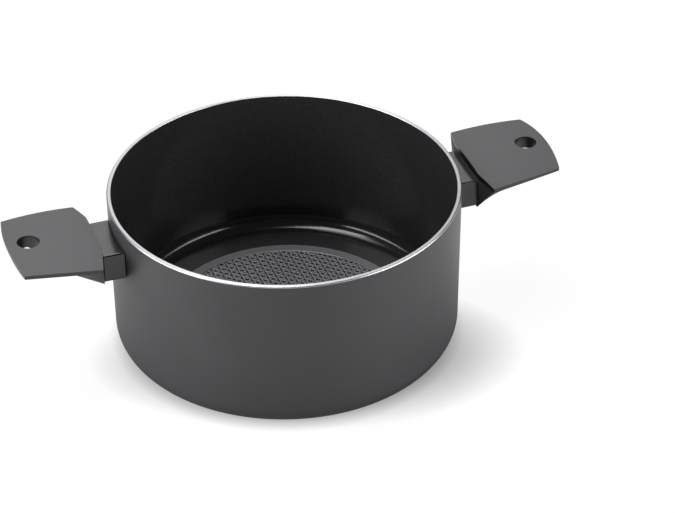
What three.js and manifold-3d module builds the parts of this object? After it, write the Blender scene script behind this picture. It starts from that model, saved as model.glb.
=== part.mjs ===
// A two-handled braising pot: a drawn aluminium vessel with a steel disc pressed into its base, and two
// moulded side handles. One screw clamps each handle's grip and hollow neck to a boss welded on the wall.
// Millimetres, +Z up. The origin is the centre of the base, and the handles lie along X.

import * as THREE from "three";
import { mergeVertices } from "three/addons/utils/BufferGeometryUtils.js";
import Module from "manifold-3d";

// Vessel
const RIM_DIAMETER = 240; // outside
const VESSEL_HEIGHT = 114.5;
const WALL_THICKNESS = 3;
const FLOOR_THICKNESS = 4.5;
const WALL_LEAN = 0.7; // how much nearer the axis the wall stands at its foot than at the rim
const FOOT_RADIUS = 14; // outside round between the wall and the base
const FLOOR_FILLET = 10; // inside round between the wall and the floor
const RIM_CHAMFER = 0.4;

// Steel disc in the base, flush with it
const DISC_DIAMETER = 178;
const DISC_THICKNESS = 1;
const DISC_CHAMFER = 0.3;

// Clearance between pieces that touch
const FIT_GAP = 0.3;

// Boss welded to the wall, one behind each handle
const HANDLE_DROP = 24; // of the screw below the rim
const BOSS_DIAMETER = 12;
const BOSS_FLANGE_STEP = 1.5; // how far the weld flange stands out all round
const BOSS_FLANGE_THICKNESS = 2;
const BOSS_FLOOR = 1.2; // left behind the blind thread

// Neck, a hollow moulding open towards the wall
const NECK_LENGTH = 13; // from the wall to the neck's outer face
const NECK_WIDTH = 42.4;
const NECK_HEIGHT = 20.6;
const NECK_SIDE_WALL = 3;
const NECK_WEB = 2.4; // end wall behind the tenon's pocket
const NECK_EDGE_RADIUS = 1;

// Tenon on the grip, which keys it to the neck
const TENON_WIDTH = 30;
const TENON_HEIGHT = 12;
const TENON_LENGTH = 2.5;

// Grip in plan
const GRIP_LENGTH = 59; // from its neck face to the middle of the outer end
const GRIP_SHOULDER_WIDTH = 79.2; // across the inner corners
const GRIP_END_WIDTH = 67.8; // across the outer corners
const GRIP_SHOULDER_SETBACK = 4.4; // of the inner corners from the neck face
const GRIP_SIDE_BULGE = 1;
const GRIP_END_BULGE = 3.8;

// Grip in section
const GRIP_STEP = 8.8; // of the middle of the grip's top above the neck's
const GRIP_TILT = THREE.MathUtils.degToRad(2.7); // outer end up
const GRIP_CROWN_RADIUS = 196; // across
const GRIP_BOW_RADIUS = 400; // along
const GRIP_EDGE_THICKNESS = 2.8; // along the sides and the outer end
const GRIP_ROOT_LIP = 1.2; // of the root below the neck
const GRIP_KEEL_END_WIDTH = 15; // of the underside's ramp at the outer end; it starts as wide as the neck

// Hanging hole, with a flat-faced collar round it on the underside
const HANG_HOLE_DIAMETER = 15.2;
const HANG_HOLE_FROM_END = 14.6; // centre to the middle of the outer end
const HANG_HOLE_DEPTH = 9.3; // from the grip's top to the collar's face
const HANG_COLLAR_WALL = 1.4;

// Handle screw and lock washer
const SCREW_DIAMETER = 5;
const SCREW_HEAD_DIAMETER = 9;
const SCREW_HEAD_HEIGHT = 3;
const SCREW_HEAD_EDGE = 1.2; // straight part of the pan head
const SCREW_TIP_CHAMFER = 0.7;
const SCREW_TIP_CLEARANCE = 0.5;
const WASHER_DIAMETER = 9.2;
const WASHER_THICKNESS = 1.2;
const WASHER_SPLIT = 1;
const COUNTERBORE_CLEARANCE = 0.4;
const CLAMPED_THICKNESS = 9; // of the grip between its neck face and the washer

// Facets
const VESSEL_SEGMENTS = 96;
const SMALL_SEGMENTS = 32;
const ARC_STEPS = 3;
const EDGE_STEPS = 1;
const GRIP_STEPS = 12; // along the grip
const CROWN_STEPS = 5; // across each quarter of the grip

const { lerp } = THREE.MathUtils;
const wasm = await Module();
wasm.setup();

// Closed solid of a three.js geometry, for joining and cutting
function solid(geometry) {
  const bare = new THREE.BufferGeometry();
  bare.setAttribute("position", geometry.getAttribute("position").clone());
  bare.setIndex(geometry.getIndex());
  const merged = mergeVertices(bare);
  const vertProperties = new Float32Array(merged.getAttribute("position").array);
  const triVerts = new Uint32Array(merged.getIndex().array);
  return new wasm.Manifold(new wasm.Mesh({ numProp: 3, vertProperties, triVerts }));
}

// three.js geometry of a solid, with flat facets
function faceted(body) {
  const mesh = body.getMesh();
  const geometry = new THREE.BufferGeometry();
  geometry.setAttribute("position", new THREE.BufferAttribute(mesh.vertProperties, 3));
  geometry.setIndex(new THREE.BufferAttribute(mesh.triVerts, 1));
  const flat = geometry.toNonIndexed();
  flat.computeVertexNormals();
  return flat;
}

// Turned piece about Z, from a path of radius and height
function turnedAboutZ(path) {
  return new THREE.LatheGeometry(path.getPoints(ARC_STEPS), VESSEL_SEGMENTS).rotateX(Math.PI / 2);
}

// Turned piece about the screw axis, from a path of radius and distance from the pot's axis
function turnedAboutScrew(path) {
  return new THREE.LatheGeometry(path.getPoints(ARC_STEPS), SMALL_SEGMENTS).rotateZ(-Math.PI / 2);
}

// Round bar on the screw axis between two distances from the pot's axis
function bar(diameter, from, to) {
  const radius = diameter / 2;
  return new THREE.CylinderGeometry(radius, radius, to - from, SMALL_SEGMENTS)
    .rotateZ(-Math.PI / 2)
    .translate((from + to) / 2, 0, 0);
}

// Upright round post on the grip's middle line, between two heights above the screw axis
function post(diameter, x, from, to) {
  const radius = diameter / 2;
  return new THREE.CylinderGeometry(radius, radius, to - from, SMALL_SEGMENTS)
    .rotateX(Math.PI / 2)
    .translate(x, 0, (from + to) / 2);
}

// Block centred on the screw axis between two distances from the pot's axis
function block(width, height, from, to) {
  return new THREE.BoxGeometry(to - from, width, height).translate((from + to) / 2, 0, 0);
}

const rimRadius = RIM_DIAMETER / 2;
const handleHeight = VESSEL_HEIGHT - HANDLE_DROP;

// Outer radius of the leaning wall at a height
function wallRadius(height) {
  const wallHeight = VESSEL_HEIGHT - FOOT_RADIUS;
  return rimRadius - (WALL_LEAN * (VESSEL_HEIGHT - height)) / wallHeight;
}

// Stations along a handle, as distances from the pot's axis
const wallFace = wallRadius(handleHeight);
const neckFace = wallFace + NECK_LENGTH;
const pocketFloor = neckFace - TENON_LENGTH - FIT_GAP;
const neckInside = pocketFloor - NECK_WEB;
const bossEnd = neckInside - FIT_GAP;
const threadFloor = wallFace + FIT_GAP + BOSS_FLOOR;
const gripRoot = neckFace + FIT_GAP;
const gripEnd = gripRoot + GRIP_LENGTH;
const washerSeat = gripRoot + CLAMPED_THICKNESS;
const washerStart = washerSeat + FIT_GAP;
const washerEnd = washerStart + WASHER_THICKNESS;
const headSeat = washerEnd + FIT_GAP;
const screwTip = threadFloor + SCREW_TIP_CLEARANCE;
const screwHole = SCREW_DIAMETER + 2 * FIT_GAP;

function vesselGeometry() {
  const recess = DISC_DIAMETER / 2 + FIT_GAP;
  const foot = wallRadius(FOOT_RADIUS);
  const inside = FLOOR_THICKNESS + FLOOR_FILLET;
  const insideFoot = wallRadius(inside) - WALL_THICKNESS;
  const profile = new THREE.Path();
  profile.moveTo(0, DISC_THICKNESS);
  profile.lineTo(recess, DISC_THICKNESS);
  profile.lineTo(recess, 0);
  profile.lineTo(foot - FOOT_RADIUS, 0);
  profile.absarc(foot - FOOT_RADIUS, FOOT_RADIUS, FOOT_RADIUS, -Math.PI / 2, 0);
  profile.lineTo(rimRadius, VESSEL_HEIGHT - RIM_CHAMFER);
  profile.lineTo(rimRadius - RIM_CHAMFER, VESSEL_HEIGHT);
  profile.lineTo(rimRadius - WALL_THICKNESS + RIM_CHAMFER, VESSEL_HEIGHT);
  profile.lineTo(rimRadius - WALL_THICKNESS, VESSEL_HEIGHT - RIM_CHAMFER);
  profile.lineTo(insideFoot, inside);
  profile.absarc(insideFoot - FLOOR_FILLET, inside, FLOOR_FILLET, 0, -Math.PI / 2, true);
  profile.lineTo(0, FLOOR_THICKNESS);
  return turnedAboutZ(profile);
}

function baseDiscGeometry() {
  const radius = DISC_DIAMETER / 2;
  const profile = new THREE.Path();
  profile.moveTo(0, 0);
  profile.lineTo(radius - DISC_CHAMFER, 0);
  profile.lineTo(radius, DISC_CHAMFER);
  profile.lineTo(radius, DISC_THICKNESS);
  profile.lineTo(0, DISC_THICKNESS);
  return turnedAboutZ(profile);
}

// The handle's pieces are modelled about their screw axis, which is X here

// Space that the wall takes up beside a handle, with the clearance round it
function wallSpace() {
  const low = wallRadius(handleHeight - NECK_HEIGHT) + FIT_GAP;
  const high = wallRadius(handleHeight + NECK_HEIGHT) + FIT_GAP;
  const cone = new THREE.CylinderGeometry(high, low, 2 * NECK_HEIGHT, VESSEL_SEGMENTS);
  return solid(cone.rotateX(Math.PI / 2));
}

function weldBossGeometry() {
  const radius = BOSS_DIAMETER / 2;
  const flange = radius + BOSS_FLANGE_STEP;
  const flangeFace = wallFace + BOSS_FLANGE_THICKNESS;
  const behindWall = wallFace - BOSS_FLANGE_THICKNESS;
  const profile = new THREE.Path();
  profile.moveTo(0, behindWall);
  profile.lineTo(flange, behindWall);
  profile.lineTo(flange, flangeFace);
  profile.lineTo(radius, flangeFace);
  profile.lineTo(radius, bossEnd);
  profile.lineTo(screwHole / 2, bossEnd);
  profile.lineTo(screwHole / 2, threadFloor);
  profile.lineTo(0, threadFloor);
  return faceted(solid(turnedAboutScrew(profile)).subtract(wallSpace()));
}

// Bar along X with rounded long edges, between two distances from the pot's axis
function roundedBar(width, height, radius, from, to) {
  const across = width / 2 - radius;
  const up = height / 2 - radius;
  const outline = new THREE.Shape();
  outline.absarc(across, up, radius, 0, Math.PI / 2);
  outline.absarc(-across, up, radius, Math.PI / 2, Math.PI);
  outline.absarc(-across, -up, radius, Math.PI, 1.5 * Math.PI);
  outline.absarc(across, -up, radius, 1.5 * Math.PI, 2 * Math.PI);
  const options = { depth: to - from, bevelEnabled: false, curveSegments: EDGE_STEPS };
  return new THREE.ExtrudeGeometry(outline, options)
    .rotateX(Math.PI / 2)
    .rotateZ(Math.PI / 2)
    .translate(from, 0, 0);
}

function neckGeometry() {
  const hollowWidth = NECK_WIDTH - 2 * NECK_SIDE_WALL;
  const hollowHeight = BOSS_DIAMETER + 2 * BOSS_FLANGE_STEP + 2 * FIT_GAP;
  const pocketWidth = TENON_WIDTH + 2 * FIT_GAP;
  const pocketHeight = TENON_HEIGHT + 2 * FIT_GAP;
  const behindWall = wallFace - NECK_LENGTH;
  const outer = solid(roundedBar(NECK_WIDTH, NECK_HEIGHT, NECK_EDGE_RADIUS, behindWall, neckFace));
  const hollow = solid(block(hollowWidth, hollowHeight, behindWall, neckInside));
  const pocket = solid(block(pocketWidth, pocketHeight, pocketFloor, gripRoot));
  const hole = solid(bar(screwHole, wallFace, gripRoot));
  return faceted(outer.subtract(wallSpace()).subtract(hollow).subtract(pocket).subtract(hole));
}

// Height of the grip's crowned top above the screw axis at a point in plan
function gripTop(x, y) {
  const along = x - (gripRoot + gripEnd) / 2;
  const crown = y ** 2 / (2 * GRIP_CROWN_RADIUS) + along ** 2 / (2 * GRIP_BOW_RADIUS);
  return NECK_HEIGHT / 2 + GRIP_STEP + along * Math.tan(GRIP_TILT) - crown;
}

// Column of the grip at a place in plan: along runs from 0 at the neck to 1 at the outer end, and across from
// -1 to 1 with folds at -0.5 and 0.5, where the underside's narrowing ramp meets its slanted sides
function gripColumn(across, along) {
  const fold = lerp(NECK_WIDTH, GRIP_KEEL_END_WIDTH, along) / 2;
  const bulge = 4 * GRIP_SIDE_BULGE * along * (1 - along);
  const edge = lerp(GRIP_SHOULDER_WIDTH, GRIP_END_WIDTH, along) / 2 + bulge;
  const middle = Math.min(1, 2 * Math.abs(across));
  const side = Math.max(0, 2 * Math.abs(across) - 1);
  const y = Math.sign(across) * (middle * fold + side * (edge - fold));

  const inner = gripRoot + GRIP_SHOULDER_SETBACK * side;
  const outer = gripEnd - GRIP_END_BULGE * (y / edge) ** 2;
  const x = lerp(inner, outer, along);

  const rootBottom = -NECK_HEIGHT / 2 - GRIP_ROOT_LIP;
  const ramp = lerp(rootBottom, gripTop(gripEnd, 0) - GRIP_EDGE_THICKNESS, along);
  const edgeX = lerp(gripRoot + GRIP_SHOULDER_SETBACK, gripEnd - GRIP_END_BULGE, along);
  const edgeBottom = gripTop(edgeX, edge) - GRIP_EDGE_THICKNESS;
  return { x, y, top: gripTop(x, y), bottom: lerp(ramp, edgeBottom, side) };
}

// The grip before its holes: a crowned top and a ramped, folded underside on one grid, closed by walls
function gripBlank() {
  const columns = 4 * CROWN_STEPS + 1;
  const last = columns - 1;
  const positions = [];
  for (let row = 0; row <= GRIP_STEPS; row += 1) {
    for (let i = 0; i < columns; i += 1) {
      const { x, y, top, bottom } = gripColumn((2 * i) / last - 1, row / GRIP_STEPS);
      positions.push(x, y, top, x, y, bottom);
    }
  }

  const index = [];
  const quad = (a, b, c, d) => index.push(a, b, c, a, c, d);
  const top = (row, column) => 2 * (row * columns + column);
  const bottom = (row, column) => top(row, column) + 1;
  for (let row = 0; row < GRIP_STEPS; row += 1) {
    const next = row + 1;
    for (let i = 0; i < last; i += 1) {
      quad(top(row, i), top(next, i), top(next, i + 1), top(row, i + 1));
      quad(bottom(row, i), bottom(row, i + 1), bottom(next, i + 1), bottom(next, i));
    }
    quad(top(row, 0), bottom(row, 0), bottom(next, 0), top(next, 0));
    quad(top(row, last), top(next, last), bottom(next, last), bottom(row, last));
  }
  const end = GRIP_STEPS;
  for (let i = 0; i < last; i += 1) {
    quad(top(0, i), top(0, i + 1), bottom(0, i + 1), bottom(0, i));
    quad(top(end, i), bottom(end, i), bottom(end, i + 1), top(end, i + 1));
  }

  const geometry = new THREE.BufferGeometry();
  geometry.setAttribute("position", new THREE.Float32BufferAttribute(positions, 3));
  geometry.setIndex(index);
  return geometry;
}

function gripGeometry() {
  const boreDiameter = Math.max(SCREW_HEAD_DIAMETER, WASHER_DIAMETER) + 2 * COUNTERBORE_CLEARANCE;
  const tenon = solid(block(TENON_WIDTH, TENON_HEIGHT, gripRoot - TENON_LENGTH, washerSeat));
  const hole = solid(bar(screwHole, wallFace, gripEnd));
  const counterbore = solid(bar(boreDiameter, washerSeat, gripEnd));

  const hangX = gripEnd - HANG_HOLE_FROM_END;
  const hangTop = gripTop(hangX, 0);
  const collarFace = hangTop - HANG_HOLE_DEPTH;
  const collarDiameter = HANG_HOLE_DIAMETER + 2 * HANG_COLLAR_WALL;
  const spotFace = solid(post(collarDiameter, hangX, -GRIP_LENGTH, collarFace));
  const collar = solid(post(collarDiameter, hangX, collarFace, hangTop - GRIP_EDGE_THICKNESS));
  const hang = solid(post(HANG_HOLE_DIAMETER, hangX, -GRIP_LENGTH, GRIP_LENGTH));

  const body = solid(gripBlank()).subtract(spotFace).add(collar).add(tenon);
  return faceted(body.subtract(hole).subtract(counterbore).subtract(hang));
}

function lockWasherGeometry() {
  const radius = WASHER_DIAMETER / 2;
  const profile = new THREE.Path();
  profile.moveTo(screwHole / 2, washerStart);
  profile.lineTo(radius, washerStart);
  profile.lineTo(radius, washerEnd);
  profile.lineTo(screwHole / 2, washerEnd);
  profile.lineTo(screwHole / 2, washerStart);
  const split = new THREE.BoxGeometry(2 * WASHER_THICKNESS, WASHER_SPLIT, WASHER_DIAMETER);
  split.translate((washerStart + washerEnd) / 2, 0, radius);
  return faceted(solid(turnedAboutScrew(profile)).subtract(solid(split)));
}

function handleScrewGeometry() {
  const shank = SCREW_DIAMETER / 2;
  const head = SCREW_HEAD_DIAMETER / 2;
  const domeStart = headSeat + SCREW_HEAD_EDGE;
  const profile = new THREE.Path();
  profile.moveTo(0, screwTip);
  profile.lineTo(shank - SCREW_TIP_CHAMFER, screwTip);
  profile.lineTo(shank, screwTip + SCREW_TIP_CHAMFER);
  profile.lineTo(shank, headSeat);
  profile.lineTo(head, headSeat);
  profile.lineTo(head, domeStart);
  profile.absellipse(0, domeStart, head, SCREW_HEAD_HEIGHT - SCREW_HEAD_EDGE, 0, Math.PI / 2);
  return turnedAboutScrew(profile);
}

const coatedAluminium = { color: 0x3b3c3e, roughness: 0.4, metalness: 0.3 };
const bareAluminium = { color: 0xb9bbbd, roughness: 0.4, metalness: 1 };
const steel = { color: 0xa9abad, roughness: 0.35, metalness: 1 };
const phenolic = { color: 0x3a3a3c, roughness: 0.6, metalness: 0 };

function piece(name, geometry, look) {
  const mesh = new THREE.Mesh(geometry, new THREE.MeshStandardMaterial(look));
  mesh.name = name;
  return mesh;
}

// One handle, turned about the pot's axis to its side
function handle(side, turn) {
  const group = new THREE.Group();
  group.add(
    piece(`weld_boss_${side}`, weldBossGeometry(), bareAluminium),
    piece(`neck_${side}`, neckGeometry(), phenolic),
    piece(`grip_${side}`, gripGeometry(), phenolic),
    piece(`lock_washer_${side}`, lockWasherGeometry(), steel),
    piece(`handle_screw_${side}`, handleScrewGeometry(), steel),
  );
  group.position.z = handleHeight;
  group.rotation.z = turn;
  return group;
}

const pot = new THREE.Group();
pot.add(
  piece("vessel", vesselGeometry(), coatedAluminium),
  piece("base_disc", baseDiscGeometry(), steel),
  handle("right", 0),
  handle("left", Math.PI),
);

export default pot;
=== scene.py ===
"""A two-handled braising pot of lacquered aluminium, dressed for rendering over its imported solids.

Shapes are worked out in millimetres about the pot's axis, with the handles along X, and go into their meshes
in metres. A handle's pieces are worked out about its screw axis, then lifted and turned to their side.
"""

import bpy
import numpy as np
from mathutils import Matrix


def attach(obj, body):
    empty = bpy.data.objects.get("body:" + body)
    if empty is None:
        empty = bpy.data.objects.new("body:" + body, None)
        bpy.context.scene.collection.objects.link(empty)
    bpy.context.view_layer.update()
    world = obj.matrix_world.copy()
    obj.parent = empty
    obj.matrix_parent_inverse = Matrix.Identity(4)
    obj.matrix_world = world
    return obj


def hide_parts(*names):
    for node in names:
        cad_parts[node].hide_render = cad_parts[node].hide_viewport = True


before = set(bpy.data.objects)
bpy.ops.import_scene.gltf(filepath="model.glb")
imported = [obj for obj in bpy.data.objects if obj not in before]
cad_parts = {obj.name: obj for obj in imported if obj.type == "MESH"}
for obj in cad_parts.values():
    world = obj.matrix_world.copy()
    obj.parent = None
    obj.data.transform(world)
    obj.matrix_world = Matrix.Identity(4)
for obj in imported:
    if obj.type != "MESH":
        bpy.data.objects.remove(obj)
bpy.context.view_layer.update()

# Clearance between pieces that fit together, in millimetres like all the pot's sizes
GAP = 0.3

# Vessel
RIM_RADIUS = 120.0
HEIGHT = 114.5
WALL = 3.0
WALL_LEAN = 0.7
FLOOR = 4.5
FOOT_ROUND = 14.0
FLOOR_FILLET = 10.0
RIM_ROUND = 0.9
RIM_ROUND_INSIDE = 0.4
RIM_MARGIN = 0.2

# Floor inside: the smooth floor, then a plain ring and the lattice within it, both a little lower
SMOOTH_EDGE = 105.6
SMOOTH_MIDDLE = 98.0
RING_RADIUS = 89.3
LATTICE_RADIUS = 82.0
RING_DROP = 0.25
LATTICE_PITCH = 5.95
LATTICE_DEPTH = 0.3

# Disc in the base, and the small circle in the middle of turned pieces that one face closes
DISC_RADIUS = 89.0
DISC_THICKNESS = 1.0
HUB_RADIUS = 3.0

# Handles, measured from the screw axis and from the pot's axis
SCREW_HEIGHT = 90.5
WALL_FACE = 119.833
NECK_FACE = WALL_FACE + 13.0
NECK_WIDTH = 42.4
NECK_HEIGHT = 20.6
ROOT = NECK_FACE + GAP
GRIP_LENGTH = 59.0
SHOULDER_WIDTH = 79.2
END_WIDTH = 67.8
SHOULDER_SETBACK = 4.4
SIDE_BULGE = 1.0
END_BULGE = 3.8
GRIP_STEP = 8.8
GRIP_TILT = np.radians(2.7)
CROWN_RADIUS = 196.0
BOW_RADIUS = 400.0
EDGE_THICKNESS = 2.8
ROOT_LIP = 1.2
KEEL_END_WIDTH = 15.0
ROOT_GROOVE_HEIGHT = 10.1
ROOT_GROOVE_SETBACK = 0.9
ROOT_GROOVE_RISE = 0.3
HANG_RADIUS = 7.6
HANG_FROM_END = 14.6
HANG_DEPTH = 9.3
COLLAR_RADIUS = 9.0
BORE_RADIUS = 5.0
WASHER_SEAT = ROOT + 9.0
HEAD_SEAT = WASHER_SEAT + 1.8
HEAD_RADIUS = 4.5
HEAD_HEIGHT = 3.0

# Points on half of a round opening in the grip
ROUND_POINTS = 13

# Rounding of the edges: a width, and the share of it that each numbered patch allows
GRIP_EDGE = 0.6
GRIP_SHARES = np.array([1, 0.6, 0.8, 1, 1, 0.6, 0, 0, 0, 0, 0])
NECK_EDGE = 1.4
NECK_SHARES = np.array([0.2, 1, 0.3, 1, 1, 1])

# Floor, with lengths in metres, and the shade drawn on it: an ellipse across the view and a ring at the foot
SHADE_CENTRE = (0.0015, -0.0374, 0.0)
SHADE_STRETCH = (1.75, 1.0, 1.0)
SHADE_SPAN = (0.054, 0.087)
SHADE_LEAST = 0.4
CONTACT_SPAN = (0.109, 0.124)
CONTACT_LEAST = 0.6
MIRROR_SPAN = (0.06, 0.15)
FLOOR_GLOW = 0.87
FLOOR_REACH = 5.0
FLOOR_DROP = 0.0002

# Degrees from the pot's front to the camera's place, and the height in metres that the lamps aim at
VIEW_TURN = 18.1
AIM_HEIGHT = 0.06


def linear(code):
    """Linear colour with full alpha from an sRGB hex code."""
    value = np.array([int(code[i:i + 2], 16) for i in (1, 3, 5)]) / 255
    value = np.where(value <= 0.04045, value / 12.92, ((value + 0.055) / 1.055) ** 2.4)
    return (*value.tolist(), 1.0)


def add(tree, kind, inputs=None, **settings):
    """Adds a shader node: settings are its properties, inputs its sockets' values or the outputs linked to
    them."""
    item = tree.nodes.new("ShaderNode" + kind)
    for key, value in settings.items():
        setattr(item, key, value)
    for socket, value in (inputs or {}).items():
        if isinstance(value, bpy.types.NodeSocket):
            tree.links.new(value, item.inputs[socket])
        else:
            item.inputs[socket].default_value = value
    return item


def new_material(name):
    """Empty node material with its tree and output."""
    material = bpy.data.materials.new(name)
    material.use_nodes = True
    material.node_tree.nodes.clear()
    return material, material.node_tree, add(material.node_tree, "OutputMaterial")


def noise(tree, size, detail, roughness=0.5):
    """Noise in the piece's own coordinates, with its largest features about size metres across."""
    place = add(tree, "TexCoord").outputs["Object"]
    inputs = {"Vector": place, "Scale": 1 / size, "Detail": detail, "Roughness": roughness}
    return add(tree, "TexNoise", inputs).outputs["Fac"]


def ramp(tree, value, dark, light, start=0.3, end=0.7):
    """Colour that goes from a dark to a light hex code while a value goes from start to end."""
    item = add(tree, "ValToRGB", {"Fac": value})
    for stop, place, code in zip(item.color_ramp.elements, (start, end), (dark, light)):
        stop.position = place
        stop.color = linear(code)
    return item.outputs["Color"]


def spread(tree, value, low, high):
    """Number that goes from low to high while a value goes from 0 to 1."""
    return add(tree, "MapRange", {"Value": value, "To Min": low, "To Max": high}).outputs["Result"]


def fade(tree, value, span, low=0.0):
    """Number that rises from low to 1 while a value crosses a span."""
    inputs = {"Value": value, "From Min": span[0], "From Max": span[1], "To Min": low}
    return add(tree, "MapRange", inputs).outputs["Result"]


def combine(tree, operation, first, second):
    """Sum or product of two numbers."""
    return add(tree, "Math", {0: first, 1: second}, operation=operation).outputs[0]


def relief(tree, height, strength, depth=0.0001):
    """Normal of a fine relief, depth metres deep."""
    inputs = {"Height": height, "Strength": strength, "Distance": depth}
    return add(tree, "Bump", inputs).outputs["Normal"]


def principled(tree, output, inputs):
    """Ends a material in a Principled shader with these inputs."""
    shader = add(tree, "BsdfPrincipled", inputs)
    tree.links.new(shader.outputs["BSDF"], output.inputs["Surface"])


# Materials


def lacquered_aluminium():
    """Sprayed and baked satin lacquer: an even dark grey, broad soft reflections and a faint orange peel."""
    material, tree, output = new_material("lacquered aluminium")
    cloud = noise(tree, 0.040, 2.0)
    peel = noise(tree, 0.0016, 2.0)
    principled(tree, output, {
        "Base Color": ramp(tree, cloud, "#39393b", "#3d3d3f"),
        "Roughness": spread(tree, peel, 0.44, 0.52),
        "Normal": relief(tree, peel, 0.12),
        "IOR": 1.5,
    })
    return material


def non_stick_coat():
    """Fluoropolymer coat: near-black and semi-gloss where plain, greyer and matt where blasted. The same mix
    also paints light: a faint grey on the smooth floor and paler borders on the plain ring.
    """
    material, tree, output = new_material("non-stick coat")
    blast_and_painted_light = add(tree, "Attribute", attribute_name="blast_and_painted_light").outputs["Fac"]
    # Flecks of the real coat are too fine to show, so they are drawn coarser
    fleck = noise(tree, 0.0018, 3.0, 0.6)
    plain = ramp(tree, fleck, "#232324", "#2b2b2d", 0.35, 0.75)
    blasted = ramp(tree, fleck, "#7d7d81", "#8d8d92")
    colour = add(tree, "Mix", {"Factor": blast_and_painted_light, 6: plain, 7: blasted}, data_type="RGBA")
    principled(tree, output, {
        "Base Color": colour.outputs[2],
        "Roughness": spread(tree, blast_and_painted_light, 0.15, 0.5),
        "Normal": relief(tree, fleck, 0.1),
        "IOR": 1.5,
    })
    return material


def turned_metal(name, colour, roughness, line):
    """Bare metal turned on a lathe: bright, with fine rings about the pot's axis, line metres apart, that
    draw its reflections out across them."""
    material, tree, output = new_material(name)
    place = add(tree, "TexCoord").outputs["Object"]
    # Real tool marks are too fine to show, so they are drawn coarser
    # A wave texture of scale 1 has 20 / (2 pi) rings to the metre
    scale = 2 * np.pi / (20 * line)
    waves = {"Vector": place, "Scale": scale, "Distortion": 0.6, "Detail": 2.0}
    rings = add(tree, "TexWave", waves, wave_type="RINGS", rings_direction="Z").outputs["Fac"]
    principled(tree, output, {
        "Base Color": linear(colour),
        "Metallic": 1.0,
        "Roughness": spread(tree, rings, roughness - 0.06, roughness + 0.06),
        "Anisotropic": 0.75,
        "Anisotropic Rotation": 0.25,
        "Tangent": add(tree, "Tangent", direction_type="RADIAL", axis="Z").outputs["Tangent"],
        "Normal": relief(tree, rings, 0.15, 0.00005),
    })
    return material


def phenolic(name, dark, light, roughness, grain, index):
    """Moulded phenolic resin: dark grey and dry to the touch, with the fine grain of an eroded mould."""
    material, tree, output = new_material(name)
    # Grain of a real mould is too fine to show, so it is drawn coarser
    speckle = noise(tree, 0.0009, 3.0, 0.6)
    principled(tree, output, {
        "Base Color": ramp(tree, speckle, dark, light),
        "Roughness": spread(tree, speckle, roughness - 0.05, roughness + 0.05),
        "Normal": relief(tree, speckle, grain),
        "IOR": index,
    })
    return material


def zinc_plated_steel():
    """Bright zinc plating: pale cool metal with a slight cloudiness."""
    material, tree, output = new_material("zinc-plated steel")
    cloud = noise(tree, 0.0025, 3.0)
    principled(tree, output, {
        "Base Color": linear("#c4c7cb"),
        "Metallic": 1.0,
        "Roughness": spread(tree, cloud, 0.26, 0.42),
    })
    return material


LACQUER = lacquered_aluminium()
COAT = non_stick_coat()
RIM_METAL = turned_metal("turned aluminium", "#bcbdbf", 0.38, 0.0006)
DISC_STEEL = turned_metal("turned stainless steel", "#b6b7b9", 0.3, 0.0011)
BOSS_METAL = turned_metal("plain aluminium", "#c8c9cb", 0.4, 0.0008)
GRIP_RESIN = phenolic("grained phenolic", "#49494b", "#4f4f51", 0.58, 0.16, 1.45)
NECK_RESIN = phenolic("satin phenolic", "#222223", "#262627", 0.22, 0.01, 1.6)
# The edge resin is the grip's phenolic, smoother and in a far darker colour that is painted shade on the
# grip's edges, root band and openings
EDGE_RESIN_WITH_PAINTED_SHADE = phenolic("smooth phenolic with painted shade", "#121213", "#161617", 0.34, 0.03, 1.6)
ZINC = zinc_plated_steel()


# Meshes


def grid_faces(rows, columns, wrap=False):
    """Quads between the rows of a grid of points; wrap joins the last column to the first."""
    span = columns if wrap else columns - 1
    row, column = np.meshgrid(np.arange(rows - 1), np.arange(span), indexing="ij")
    after = (column + 1) % columns
    quads = [
        row * columns + column,
        row * columns + after,
        (row + 1) * columns + after,
        (row + 1) * columns + column,
    ]
    return np.stack(quads, axis=-1).reshape(-1, 4)


def welded(points, faces):
    """Points that lie at one place to a thousandth of a millimetre become one, and the faces follow. The last
    result gives each old point's new number."""
    places, index = np.unique(np.round(points, 3), axis=0, return_inverse=True)
    index = index.ravel()
    return places, index[faces], index


def rounded(piece, patch, shares, width):
    """Rounds a piece along the edges between its patches: each edge's share of the width, in millimetres, is
    the smaller share of the two patches that meet there. Where that is none, the edge is sharp."""
    mesh = piece.data
    size = np.zeros(len(mesh.polygons), dtype=np.int32)
    mesh.polygons.foreach_get("loop_total", size)
    edge = np.zeros(len(mesh.loops), dtype=np.int32)
    mesh.loops.foreach_get("edge_index", edge)
    owner = np.repeat(patch, size)
    low = np.full(len(mesh.edges), len(shares) - 1)
    high = np.zeros(len(mesh.edges), dtype=int)
    np.minimum.at(low, edge, owner)
    np.maximum.at(high, edge, owner)
    share = np.where(low < high, np.minimum(shares[low], shares[high]), 0)
    weights = mesh.attributes.new("bevel_weight_edge", "FLOAT", "EDGE")
    weights.data.foreach_set("value", share.astype(np.float32))
    sharp = mesh.attributes.new("sharp_edge", "BOOLEAN", "EDGE")
    sharp.data.foreach_set("value", (low < high) & (share == 0))
    modifier = piece.modifiers.new("edges", "BEVEL")
    modifier.width = width * 0.001
    modifier.segments = 3
    modifier.limit_method = "WEIGHT"
    modifier.harden_normals = True


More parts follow.
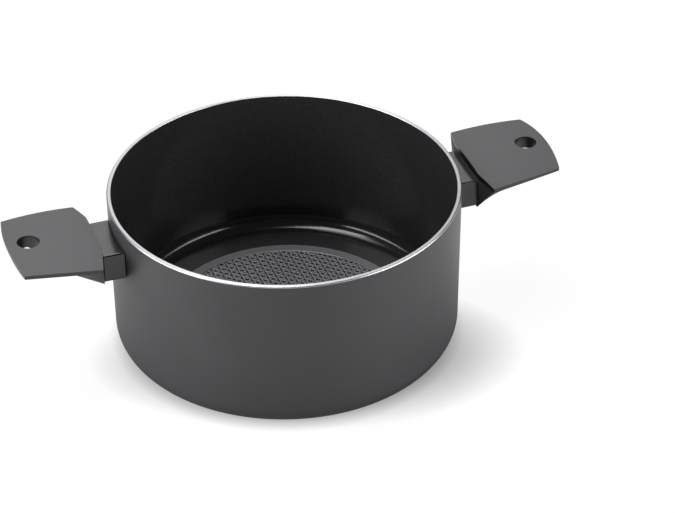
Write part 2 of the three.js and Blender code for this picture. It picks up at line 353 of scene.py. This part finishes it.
def put(name, points, faces, materials, caps=(), kinds=None, values=None):
    """Smooth mesh object from points in millimetres, quads and caps; kinds gives each face its material's
    number and values each point's share of blasted coat, which on the vessel also carries painted light."""
    mesh = bpy.data.meshes.new(name)
    corners = [list(dict.fromkeys(face)) for face in np.asarray(faces).tolist()]
    mesh.from_pydata((points * 0.001).tolist(), [], corners + [list(cap) for cap in caps])
    mesh.polygons.foreach_set("use_smooth", np.ones(len(mesh.polygons), dtype=bool))
    for material in materials:
        mesh.materials.append(material)
    if kinds is not None:
        mesh.polygons.foreach_set("material_index", np.asarray(kinds, dtype=np.int32))
    if values is not None:
        blast_and_painted_light = mesh.attributes.new("blast_and_painted_light", "FLOAT", "POINT")
        blast_and_painted_light.data.foreach_set("value", np.asarray(values, dtype=np.float32))
    mesh.update()
    piece = bpy.data.objects.new(name, mesh)
    bpy.context.collection.objects.link(piece)
    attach(piece, "root")
    return piece


def arc(across, up, radius, start, end, steps):
    """Points of a section on a circle, from one angle in degrees to another."""
    angle = np.radians(np.linspace(start, end, steps + 1))
    return np.column_stack([across + radius * np.cos(angle), up + radius * np.sin(angle)])


def turned(profile, segments):
    """Carries a profile of radius and height round the Z axis."""
    angle = np.linspace(0, 2 * np.pi, segments, endpoint=False)
    radius, height = profile[:, :1], profile[:, 1:]
    points = np.stack([radius * np.cos(angle), radius * np.sin(angle), height + 0 * angle], axis=-1)
    return points.reshape(-1, 3)


# Vessel


def wall_radius(height):
    """Outer radius of the wall, which leans outwards evenly from the foot to the rim."""
    return RIM_RADIUS - WALL_LEAN * (HEIGHT - height) / (HEIGHT - FOOT_ROUND)


def vessel():
    """Section from the middle of the base out, up the wall, over the rim, down inside and in to the lattice,
    carried round the axis."""
    segments = 240
    foot = wall_radius(FOOT_ROUND)
    recess = DISC_RADIUS + GAP
    low = FLOOR + FLOOR_FILLET
    inside = wall_radius(low) - WALL
    inner_rim = RIM_RADIUS - WALL + RIM_ROUND_INSIDE
    up = np.array([FOOT_ROUND + 0.6, 24, 48, 72, 96, 112, HEIGHT - 1])
    down = np.array([HEIGHT - 1, 112, 96, 72, 48, 28, low + 0.6])
    plateau = FLOOR - RING_DROP
    groove = plateau - LATTICE_DEPTH
    outside = np.vstack([
        [[HUB_RADIUS, DISC_THICKNESS], [recess - 0.3, DISC_THICKNESS], [recess, DISC_THICKNESS - 0.1]],
        [[recess, 0.3], [recess + 0.3, 0], [recess + 0.9, 0], [foot - FOOT_ROUND - 0.7, 0]],
        arc(foot - FOOT_ROUND, FOOT_ROUND, FOOT_ROUND, -90, 0, 20),
        np.column_stack([wall_radius(up), up]),
    ])
    rim = np.vstack([
        arc(RIM_RADIUS - RIM_ROUND, HEIGHT - RIM_ROUND, RIM_ROUND, 0, 90, 4),
        [[RIM_RADIUS - RIM_ROUND - RIM_MARGIN, HEIGHT], [inner_rim + RIM_MARGIN, HEIGHT]],
        arc(inner_rim, HEIGHT - RIM_ROUND_INSIDE, RIM_ROUND_INSIDE, 90, 180, 4),
    ])
    lining = np.vstack([
        np.column_stack([wall_radius(down) - WALL, down]),
        arc(inside - FLOOR_FILLET, low, FLOOR_FILLET, 0, -90, 20),
        [[SMOOTH_EDGE, FLOOR], [SMOOTH_MIDDLE, FLOOR], [RING_RADIUS + 0.5, FLOOR], [RING_RADIUS, FLOOR]],
        [[RING_RADIUS - 0.45, plateau], [RING_RADIUS - 0.9, plateau], [LATTICE_RADIUS + 1, plateau]],
        [[LATTICE_RADIUS + 0.5, plateau], [LATTICE_RADIUS + 0.2, groove], [LATTICE_RADIUS - 0.2, groove]],
    ])
    profile = np.vstack([outside, rim, lining])
    points = turned(profile, segments)
    faces = grid_faces(len(profile), segments, wrap=True)
    step = np.arange(len(profile) - 1)
    kind = np.where(step < len(outside), 0, np.where(step < len(outside) + len(rim) - 1, 1, 2))
    kinds = np.append(np.repeat(kind, segments), 0)
    # The coat is blasted on the plain ring. The smooth floor is a touch greyer than the wall, painted light
    # on the level floor, and the ring's two borders are paler than its middle, a painted highlight along
    # their edges
    blast_and_painted_light = np.zeros(len(profile))
    blast_and_painted_light[-10:-6] = [0.05, 0.08, 0.08, 0.08]
    blast_and_painted_light[-6:-2] = [0.85, 0.7, 0.7, 0.85]
    values = np.repeat(blast_and_painted_light, segments)
    cap = np.arange(segments)[::-1]
    return put("vessel_shell", points, faces, [LACQUER, RIM_METAL, COAT], [cap], kinds, values)


def lattice():
    """Square cells on a square lattice, each five closed rings about its dot: ring k has the radius
    size / (|cos|^n + |sin|^n)^(1/n), which is nearly a square where n is large and a circle where it is 2;
    the outermost is an exact square, along which the cells meet. Points past the lattice's edge are drawn in
    to it."""
    corners = 12
    half = LATTICE_PITCH / 2
    size = np.array([half, half - 0.16, half - 0.4, 1.55, 1.35])
    power = np.array([9.0, 9.0, 7.0, 2.0, 2.0])[:, None]
    depth = np.array([1.0, 1.0, 0.0, 0.0, 1.0])
    blast_and_painted_light = np.array([0.0, 0.0, 1.0, 0.8, 0.0])
    angle = np.radians(15 + 30 * np.arange(corners))
    cosine, sine = np.abs(np.cos(angle)), np.abs(np.sin(angle))
    stretch = (cosine ** power + sine ** power) ** (1 / power)
    stretch[0] = np.maximum(cosine, sine)
    radius = size[:, None] / stretch
    cell = np.stack([radius * np.cos(angle), radius * np.sin(angle)], axis=-1).reshape(-1, 2)
    top = FLOOR - RING_DROP
    reach = int(np.ceil(LATTICE_RADIUS / LATTICE_PITCH))
    number = np.arange(-reach, reach + 1) * LATTICE_PITCH
    centre = np.stack(np.meshgrid(number, number), axis=-1).reshape(-1, 2)
    plan = centre[:, None] + cell
    distance = np.linalg.norm(plan, axis=-1)
    over = distance > LATTICE_RADIUS
    plan = plan * np.where(over, LATTICE_RADIUS / np.maximum(distance, 1e-9), 1)[..., None]
    height = top - LATTICE_DEPTH * np.where(over, 1, np.repeat(depth, corners))
    value = np.where(over, 0, np.repeat(blast_and_painted_light, corners))
    points = np.concatenate([plan, height[..., None]], axis=-1)

    # Faces of all the cells, and the dots in their middles, without those that lie past the edge
    start = (np.arange(len(centre)) * len(cell))[:, None, None]
    faces = (grid_faces(len(size), corners, wrap=True) + start).reshape(-1, 4)
    dots = (np.arange(len(cell) - corners, len(cell)) + start[:, 0]).reshape(-1, corners)
    faces = faces[~over.reshape(-1)[faces].all(axis=1)]
    dots = dots[~over.reshape(-1)[dots].all(axis=1)]
    places, faces, index = welded(points.reshape(-1, 3), faces)
    values = np.zeros(len(places))
    values[index] = value.reshape(-1)
    return put("floor_lattice", places, faces, [COAT], index[dots], None, values)


def base_disc():
    """Flat turned disc whose underside has shallow rings, a cosine of the radius with a pitch of 4 mm."""
    segments = 144
    pitch, ripple, chamfer = 4.0, 0.06, 0.3
    top = DISC_THICKNESS - 0.05
    radius = np.linspace(HUB_RADIUS, DISC_RADIUS - 1, 173)
    under = np.column_stack([radius, ripple * (1 - np.cos(2 * np.pi * radius / pitch))])
    edge = [[DISC_RADIUS - chamfer, 0], [DISC_RADIUS, chamfer], [DISC_RADIUS, top]]
    upper = [[DISC_RADIUS - 1, top], [HUB_RADIUS, top]]
    profile = np.vstack([under, edge, upper])
    points = turned(profile, segments)
    faces = grid_faces(len(profile), segments, wrap=True)
    first = np.arange(segments)[::-1]
    last = np.arange(segments) + (len(profile) - 1) * segments
    return put("base_disc_turned", points, faces, [DISC_STEEL], [first, last])


# Handles


def grip_top(x, y):
    """Height of the grip's top: a tilted plane, crowned across and bowed along."""
    along = x - ROOT - GRIP_LENGTH / 2
    crown = y ** 2 / (2 * CROWN_RADIUS) + along ** 2 / (2 * BOW_RADIUS)
    return NECK_HEIGHT / 2 + GRIP_STEP + along * np.tan(GRIP_TILT) - crown


def grip_ramp(x):
    """Height of the underside's flat ramp, which rises from below the neck to the outer end's lower edge."""
    low = -NECK_HEIGHT / 2 - ROOT_LIP
    high = grip_top(ROOT + GRIP_LENGTH, 0.0) - EDGE_THICKNESS
    return low + (high - low) * (x - ROOT) / GRIP_LENGTH


def grip_edge(share):
    """Side edge of the grip in plan, from the shoulder at share 0 to the outer corner at 1, with a slight
    bulge."""
    x = ROOT + SHOULDER_SETBACK + share * (GRIP_LENGTH - SHOULDER_SETBACK - END_BULGE)
    y = (SHOULDER_WIDTH + share * (END_WIDTH - SHOULDER_WIDTH)) / 2 + 4 * SIDE_BULGE * share * (1 - share)
    return x, y


def grip_fold(share):
    """Half the width of the underside's ramp, from its middle to the fold where the slanted side starts."""
    return (NECK_WIDTH + share * (KEEL_END_WIDTH - NECK_WIDTH)) / 2


def half_sheet(centre_x, centre_y, across):
    """Half of the grip in plan: each row runs from the middle line, or a hole's edge in it, by way of the
    fold to the side edge; across is 0 at the middle, 1 on the fold and 2 at the edge. A row lies between the
    stepped inner edge and the bowed outer end, and leaves its place only to pass round a hole."""
    share = np.linspace(0, 1, len(centre_x))[:, None]
    first = np.minimum(across, 1)
    second = np.maximum(across - 1, 0)
    fold = grip_fold(share)
    edge = grip_edge(share)[1]
    y = centre_y[:, None] * (1 - first) + fold * (first - second) + edge * second
    inner = ROOT + SHOULDER_SETBACK * second
    outer = ROOT + GRIP_LENGTH - END_BULGE * (y / edge) ** 2
    x = inner + share * (outer - inner)
    return x + (centre_x[:, None] - x[:, :1]) * (1 - first), y


def grip_under(x, across, share):
    """Height of the underside: the ramp as far as the fold, then a straight slant to the side edge, which
    lies one edge thickness below the top."""
    edge_x, edge_y = grip_edge(share)
    edge = (grip_top(edge_x, edge_y) - EDGE_THICKNESS)[:, None]
    slant = np.maximum(across - 1, 0)
    return grip_ramp(x) * (1 - slant) + edge * slant


def hang_circle(radius):
    """Half of a circle round the hanging hole's axis, from its inner to its outer end."""
    angle = np.linspace(np.pi, 0, ROUND_POINTS)
    centre = ROOT + GRIP_LENGTH - HANG_FROM_END
    return centre + radius * np.cos(angle), radius * np.sin(angle)


def grip():
    """Two sheets on one plan grid, the crowned top and the folded underside, joined by the outer edge and by
    the walls of the hanging hole and the screw's counterbore, which open in the middle line of the grid."""
    across = np.concatenate([np.linspace(0, 1, 5), 1 + np.linspace(0, 1, 7)[1:]])
    end = ROOT + GRIP_LENGTH
    bore = slice(4, 4 + ROUND_POINTS)
    hole = slice(bore.stop, bore.stop + ROUND_POINTS)

    # The top opens at the hanging hole alone
    hole_x, hole_y = hang_circle(HANG_RADIUS)
    before = np.linspace(ROOT, hole_x[0], hole.start + 1)[:-1]
    beyond = np.linspace(hole_x[-1], end, 4)[1:]
    top_x = np.concatenate([before, hole_x, beyond])
    top_y = np.concatenate([0 * before, hole_y, 0 * beyond])
    x, y = half_sheet(top_x, top_y, across)
    top = np.stack([x, y, grip_top(x, y)], axis=-1)

    # The underside opens where the counterbore's circle meets the ramp, and at the collar
    angle = np.linspace(-np.pi / 2, np.pi / 2, ROUND_POINTS)
    along = np.array([ROOT, end])
    bore_x = np.interp(BORE_RADIUS * np.sin(angle), grip_ramp(along), along)
    bore_y = BORE_RADIUS * np.cos(angle)
    ring_x, ring_y = hang_circle(COLLAR_RADIUS)
    before = np.linspace(ROOT, bore_x[0], bore.start + 1)[:-1]
    beyond = np.linspace(ring_x[-1], end, 4)[1:]
    low_x = np.concatenate([before, bore_x, ring_x, beyond])
    low_y = np.concatenate([0 * before, bore_y, ring_y, 0 * beyond])
    x, y = half_sheet(low_x, low_y, across)
    under = np.stack([x, y, grip_under(x, across, np.linspace(0, 1, len(x)))], axis=-1)

    # Root: a band of the smooth edge resin, darkened as painted shade, under the top's inner edge, cut back
    # to a groove at the neck's height, and the facet below it
    second = np.maximum(across - 1, 0)
    foot = under[0, -1, 2]
    ledge = top[0] * [1, 1, 0]
    ledge[:, 2] = ROOT_GROOVE_HEIGHT + (foot - ROOT_GROOVE_HEIGHT) * second
    groove = ledge + (1 - second)[:, None] * [ROOT_GROOVE_SETBACK, 0, ROOT_GROOVE_RISE]

    # Collar and counterbore
    opening = under[bore, 0]
    seat = opening * [0, 1, 1] + [WASHER_SEAT, 0, 0]
    middle = opening * 0 + [WASHER_SEAT, 0, 0]
    face = np.full(ROUND_POINTS, grip_top(end - HANG_FROM_END, 0.0) - HANG_DEPTH)
    outer = np.column_stack([ring_x, ring_y, face])
    inner = np.column_stack([hole_x, hole_y, face])
    depth = np.linspace(0, 1, 4)[:, None, None]

    # Patches of one half: points, whether the faces are turned over, patch number, and smooth finish or not;
    # the smooth finish is the edge resin, whose far darker colour is painted shade
    patches = [
        (top, True, 0, 0),
        (under, False, 1, 0),
        (np.stack([top[0], groove, ledge]), False, 2, 1),
        (np.stack([ledge, under[0]]), False, 8, 0),
        (np.stack([top[:, -1], under[:, -1]]), False, 3, 1),
        (np.stack([top[-1], under[-1]]), True, 4, 1),
        (top[hole, 0] * (1 - depth) + inner * depth, True, 5, 1),
        (np.stack([inner, outer]), True, 9, 0),
        (np.stack([outer, under[hole, 0]]), True, 10, 0),
        (np.stack([opening, seat]), False, 6, 1),
        (np.stack([seat, middle]), False, 7, 1),
    ]
    points, faces, patch, kinds, count = [], [], [], [], 0
    for grid, turn, number, smooth in patches:
        quads = grid_faces(*grid.shape[:2]) + count
        points.append(grid.reshape(-1, 3))
        faces.append(quads[:, ::-1] if turn else quads)
        patch.append(np.full(len(quads), number))
        kinds.append(np.full(len(quads), smooth))
        count += grid.shape[0] * grid.shape[1]
    points, faces = np.vstack(points), np.vstack(faces)
    both = np.vstack([points, points * [1, -1, 1]])
    places, faces, _ = welded(both, np.vstack([faces, faces[:, ::-1] + count]))
    return places, faces, np.tile(np.concatenate(patch), 2), np.tile(np.concatenate(kinds), 2)


def neck():
    """A rectangle of length and height carried across the neck's width; its inner side follows the round
    wall."""
    y = np.linspace(-NECK_WIDTH / 2, NECK_WIDTH / 2, 13)
    start = np.sqrt((WALL_FACE + GAP) ** 2 - y ** 2)
    half = NECK_HEIGHT / 2
    share = np.array([1, 1, 1, 0.5, 0, 0, 0, 0.5])
    height = np.array([half, 0, -half, -half, -half, 0, half, half])
    corners = len(share)
    x = start[:, None] + share * (NECK_FACE - start)[:, None]
    points = np.stack([x, y[:, None] + 0 * share, height + 0 * x], axis=-1).reshape(-1, 3)
    faces = grid_faces(len(y), corners, wrap=True)
    first = np.arange(corners)[::-1]
    last = np.arange(corners) + corners * (len(y) - 1)
    # Patches: 0 outer end, 1 underside, 2 face to the wall, 3 top, 4 and 5 the sides
    patch = np.append(np.tile([0, 0, 1, 1, 2, 2, 3, 3], len(y) - 1), [4, 5])
    return points, faces, [first, last], patch


def screw():
    """Pan head with a cross recess: rings about the axis, of which the inner ones take the cross's outline,
    the larger of two crossed bars' radii at each angle."""
    segments = 48
    shank_radius, shank_length = 2.5, 20.0
    bar_width, bar_length = 0.65, 2.3
    brim, shoulder = 1.1, 1.2
    recess = [1.4, 1.2]
    angle = np.linspace(0, 2 * np.pi, segments, endpoint=False)
    cosine = np.maximum(np.abs(np.cos(angle)), 1e-6)
    sine = np.maximum(np.abs(np.sin(angle)), 1e-6)
    level = np.minimum(bar_length / cosine, bar_width / sine)
    upright = np.minimum(bar_length / sine, bar_width / cosine)
    cross = np.maximum(level, upright)
    dome = np.radians(np.linspace(0, 75, 7))
    circles = np.append([shank_radius] * 2 + [HEAD_RADIUS] * 2, HEAD_RADIUS * np.cos(dome[:-1]))
    radius = np.vstack([circles[:, None] + 0 * angle, cross, 0.9 * cross, 0.2 * cross])
    rise = shoulder + (HEAD_HEIGHT - shoulder) * np.sin(dome)
    height = np.concatenate([[-shank_length, 0, 0, brim], rise, recess])[:, None] + 0 * angle
    points = np.stack([HEAD_SEAT + height, radius * np.cos(angle), radius * np.sin(angle)], axis=-1)
    faces = grid_faces(len(radius), segments, wrap=True)
    first = np.arange(segments)[::-1]
    last = np.arange(segments) + segments * (len(radius) - 1)
    return points.reshape(-1, 3), faces, [first, last]


def on_side(points, turn):
    """Lifts a handle's points to the screw's height and turns them to the right, turn 1, or left, turn -1."""
    return points * [turn, turn, 1] + [0, 0, SCREW_HEIGHT]


pot = vessel()
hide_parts("vessel")
pattern = lattice()
disc = base_disc()
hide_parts("base_disc")

for side, turn in (("right", 1), ("left", -1)):
    points, faces, patch, kinds = grip()
    piece = put(f"grip_{side}_moulded", on_side(points, turn), faces, [GRIP_RESIN, EDGE_RESIN_WITH_PAINTED_SHADE], (), kinds)
    rounded(piece, patch, GRIP_SHARES, GRIP_EDGE)
    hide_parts(f"grip_{side}")
    points, faces, caps, patch = neck()
    piece = put(f"neck_{side}_moulded", on_side(points, turn), faces, [NECK_RESIN], caps)
    rounded(piece, patch, NECK_SHARES, NECK_EDGE)
    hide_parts(f"neck_{side}")
    points, faces, caps = screw()
    piece = put(f"handle_screw_{side}_cross", on_side(points, turn), faces, [ZINC], caps)
    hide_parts(f"handle_screw_{side}")
    for node, material in ((f"weld_boss_{side}", BOSS_METAL), (f"lock_washer_{side}", ZINC)):
        bpy.data.objects[node].data.materials.clear()
        bpy.data.objects[node].data.materials.append(material)


# Stage and light


def floor():
    """Wide plain floor, white to the camera and pale in reflections, that keeps the pot's shadow. What the
    camera sees of its glow falls off in an ellipse under the pot and once more in a ring where the foot
    touches, so the soft shade there is partly painted; what is mirrored falls off over a wider span of the
    same ellipse, a painted shade under the pot in its reflections."""
    material, tree, output = new_material("pale floor")
    path = add(tree, "LightPath").outputs
    place = add(tree, "TexCoord").outputs["Object"]
    spot = add(tree, "Mapping", {
        "Vector": place,
        "Location": SHADE_CENTRE,
        "Rotation": (0.0, 0.0, np.radians(-VIEW_TURN)),
        "Scale": SHADE_STRETCH,
    }, vector_type="TEXTURE")
    radius = add(tree, "VectorMath", {0: spot.outputs[0]}, operation="LENGTH").outputs["Value"]
    reach = add(tree, "VectorMath", {0: place}, operation="LENGTH").outputs["Value"]
    shade = fade(tree, radius, SHADE_SPAN, SHADE_LEAST)
    contact = fade(tree, reach, CONTACT_SPAN, CONTACT_LEAST)
    direct = combine(tree, "MULTIPLY", path["Is Camera Ray"], combine(tree, "MULTIPLY", shade, contact))
    bounced = combine(tree, "ADD", path["Is Glossy Ray"], path["Is Transmission Ray"])
    mirrored = combine(tree, "MULTIPLY", bounced, fade(tree, radius, MIRROR_SPAN))
    glow = combine(tree, "MULTIPLY", combine(tree, "ADD", direct, mirrored), FLOOR_GLOW)
    paint = add(tree, "BsdfDiffuse", {"Color": linear("#6d6d6f")})
    light = add(tree, "Emission", {"Color": linear("#ffffff"), "Strength": glow})
    both = add(tree, "AddShader", {0: paint.outputs[0], 1: light.outputs[0]})
    tree.links.new(both.outputs[0], output.inputs["Surface"])
    mesh = bpy.data.meshes.new("floor")
    spots = [(x * FLOOR_REACH, y * FLOOR_REACH, -FLOOR_DROP) for x, y in ((-1, -1), (1, -1), (1, 1), (-1, 1))]
    mesh.from_pydata(spots, [], [(0, 1, 2, 3)])
    mesh.materials.append(material)
    ground = bpy.data.objects.new("floor", mesh)
    bpy.context.collection.objects.link(ground)


def softbox(name, azimuth, elevation, distance, size, power):
    """Rectangular area lamp that faces the pot; azimuth is in degrees to the right of the camera's side."""
    turn = np.radians(azimuth - VIEW_TURN)
    rise = np.radians(elevation)
    away = np.array([np.sin(turn) * np.cos(rise), -np.cos(turn) * np.cos(rise), np.sin(rise)])
    lamp = bpy.data.lights.new(name, "AREA")
    lamp.shape = "RECTANGLE"
    lamp.size, lamp.size_y = size
    lamp.energy = power
    item = bpy.data.objects.new(name, lamp)
    item.matrix_world = (
        Matrix.Translation((away * distance + [0, 0, AIM_HEIGHT]).tolist())
        @ Matrix.Rotation(turn, 4, "Z") @ Matrix.Rotation(np.pi / 2 - rise, 4, "X")
    )
    bpy.context.collection.objects.link(item)


def camera():
    """Camera at the photograph's place, which was worked out from the pot's ellipses and its handles."""
    place = (-0.42150, -1.28881, 0.98949)
    turn, tilt, roll = np.radians([-19.6886, 90 - 34.5722, -0.37347])
    lens = bpy.data.cameras.new("camera")
    lens.sensor_fit = "HORIZONTAL"
    lens.sensor_width = 36.0
    lens.lens = 126.39
    item = bpy.data.objects.new("camera", lens)
    item.matrix_world = (
        Matrix.Translation(place)
        @ Matrix.Rotation(turn, 4, "Z")
        @ Matrix.Rotation(tilt, 4, "X")
        @ Matrix.Rotation(roll, 4, "Z")
    )
    bpy.context.collection.objects.link(item)
    bpy.context.scene.camera = item


floor()
softbox("overhead", -130, 76, 1.4, (1.0, 0.5), 12)
softbox("back", 186, 35, 1.6, (0.9, 1.5), 7.2)
softbox("left", -72, 19, 1.5, (1.3, 1.0), 29.5)
softbox("right", 72, 19, 1.5, (1.3, 1.0), 24)
camera()

world = bpy.data.worlds.new("studio")
world.use_nodes = True
background = world.node_tree.nodes["Background"]
background.inputs["Color"].default_value = linear("#ffffff")
background.inputs["Strength"].default_value = 0.05
bpy.context.scene.world = world
bpy.context.scene.view_settings.view_transform = "Standard"
